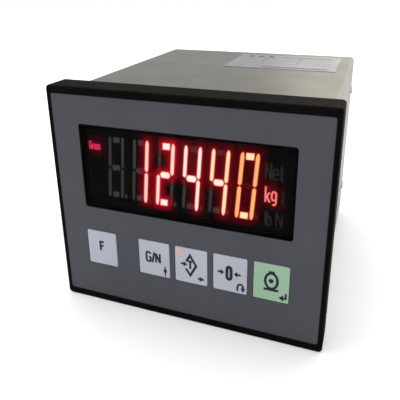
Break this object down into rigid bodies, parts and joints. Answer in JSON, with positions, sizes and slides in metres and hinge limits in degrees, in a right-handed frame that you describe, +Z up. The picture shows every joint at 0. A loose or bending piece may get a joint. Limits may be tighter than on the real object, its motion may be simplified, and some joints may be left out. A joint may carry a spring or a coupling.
{
  "type": "weighing indicator",
  "caption": "Panel weighing indicator: black bezel with a lit segment display and press keys, on a deep folded stainless case with rear connectors.",
  "frame": {"origin": "under the middle of the whole object, at the height of the bezel's bottom edge", "axes": "front faces -Y, +Y runs back through the case, +Z up, +X to the right seen from the front"},
  "size_m": [0.144, 0.166, 0.123],
  "materials": {
    "bezel_plastic": "moulded black, fine texture",
    "overlay_film": "matte grey printed film",
    "window_filter": "smoked red filter, polished",
    "display_housing": "matte black",
    "segment_lit": "diffusing light pipe, lit red",
    "segment_dark": "diffusing light pipe, unlit",
    "legend_film": "dark printed film",
    "circuit_board": "green solder mask",
    "component_black": "black component resin",
    "key_grey": "light grey printed key face",
    "key_green": "light green printed key face",
    "actuator_plastic": "natural nylon",
    "stainless_case": "satin brushed stainless sheet",
    "stainless_panel": "satin stainless sheet",
    "foam_gasket": "closed-cell foam",
    "zinc_steel": "zinc plated",
    "brass_metal": "bright brass",
    "tin_shell": "tin plated shell",
    "core_steel": "varnished laminations",
    "copper_coil": "taped copper winding",
    "can_sleeve": "blue can sleeve",
    "sink_black": "black anodised",
    "relay_blue": "blue relay case",
    "plug_green": "green terminal plastic",
    "plug_black": "black terminal plastic",
    "ribbon_grey": "grey ribbon insulation",
    "label_foil": "blank silver foil label"
  },
  "bodies": {
    "housing": {"bezel": "bezel_plastic", "front_overlay": "overlay_film", "display_window": "window_filter", "digit_block_1": "display_housing", "digit_block_2": "display_housing", "digit_block_3": "display_housing", "digit_block_4": "display_housing", "digit_block_5": "display_housing", "digit_block_6": "display_housing", "segments_lit": "segment_lit", "segments_unlit": "segment_dark", "status_lightbox": "display_housing", "unit_lightbox": "display_housing", "status_film": "legend_film", "unit_film": "legend_film", "front_board": "circuit_board", "front_board_screws": "zinc_steel", "key_switches": "component_black", "front_header": "component_black", "ribbon_cable": "ribbon_grey", "main_header": "component_black", "main_board": "circuit_board", "board_standoffs": "zinc_steel", "board_screws": "zinc_steel", "transformer_core": "core_steel", "transformer_coil": "copper_coil", "filter_capacitors": "can_sleeve", "heatsink": "sink_black", "regulator": "component_black", "converter_shield": "tin_shell", "board_chips": "component_black", "output_relays": "relay_blue", "panel_gasket": "foam_gasket", "case_sleeve": "stainless_case", "side_nuts": "zinc_steel", "case_screws": "zinc_steel", "rear_panel": "stainless_panel", "load_cell_connector": "tin_shell", "connector_jackscrews": "zinc_steel", "power_header": "plug_black", "power_plug": "plug_black", "signal_header": "plug_green", "signal_plug": "plug_green", "plug_screws": "zinc_steel", "earth_stud": "brass_metal", "earth_nuts": "brass_metal", "earth_washers": "zinc_steel", "rating_label": "label_foil"},
    "function_key": {"key_function": "key_grey", "actuator_function": "actuator_plastic"},
    "gross_net_key": {"key_gross_net": "key_grey", "actuator_gross_net": "actuator_plastic"},
    "tare_key": {"key_tare": "key_grey", "actuator_tare": "actuator_plastic"},
    "zero_key": {"key_zero": "key_grey", "actuator_zero": "actuator_plastic"},
    "enter_key": {"key_enter": "key_green", "actuator_enter": "actuator_plastic"}
  },
  "joints": [
    {"name": "press_function", "type": "slide", "parent": "housing", "child": "function_key", "axis": [0, 1, 0], "range_m": [0, 0.0005], "stiffness_N_per_m": 2500, "springref_m": -0.0003},
    {"name": "press_gross_net", "type": "slide", "parent": "housing", "child": "gross_net_key", "axis": [0, 1, 0], "range_m": [0, 0.0005], "stiffness_N_per_m": 2500, "springref_m": -0.0003},
    {"name": "press_tare", "type": "slide", "parent": "housing", "child": "tare_key", "axis": [0, 1, 0], "range_m": [0, 0.0005], "stiffness_N_per_m": 2500, "springref_m": -0.0003},
    {"name": "press_zero", "type": "slide", "parent": "housing", "child": "zero_key", "axis": [0, 1, 0], "range_m": [0, 0.0005], "stiffness_N_per_m": 2500, "springref_m": -0.0003},
    {"name": "press_enter", "type": "slide", "parent": "housing", "child": "enter_key", "axis": [0, 1, 0], "range_m": [0, 0.0005], "stiffness_N_per_m": 2500, "springref_m": -0.0003}
  ]
}
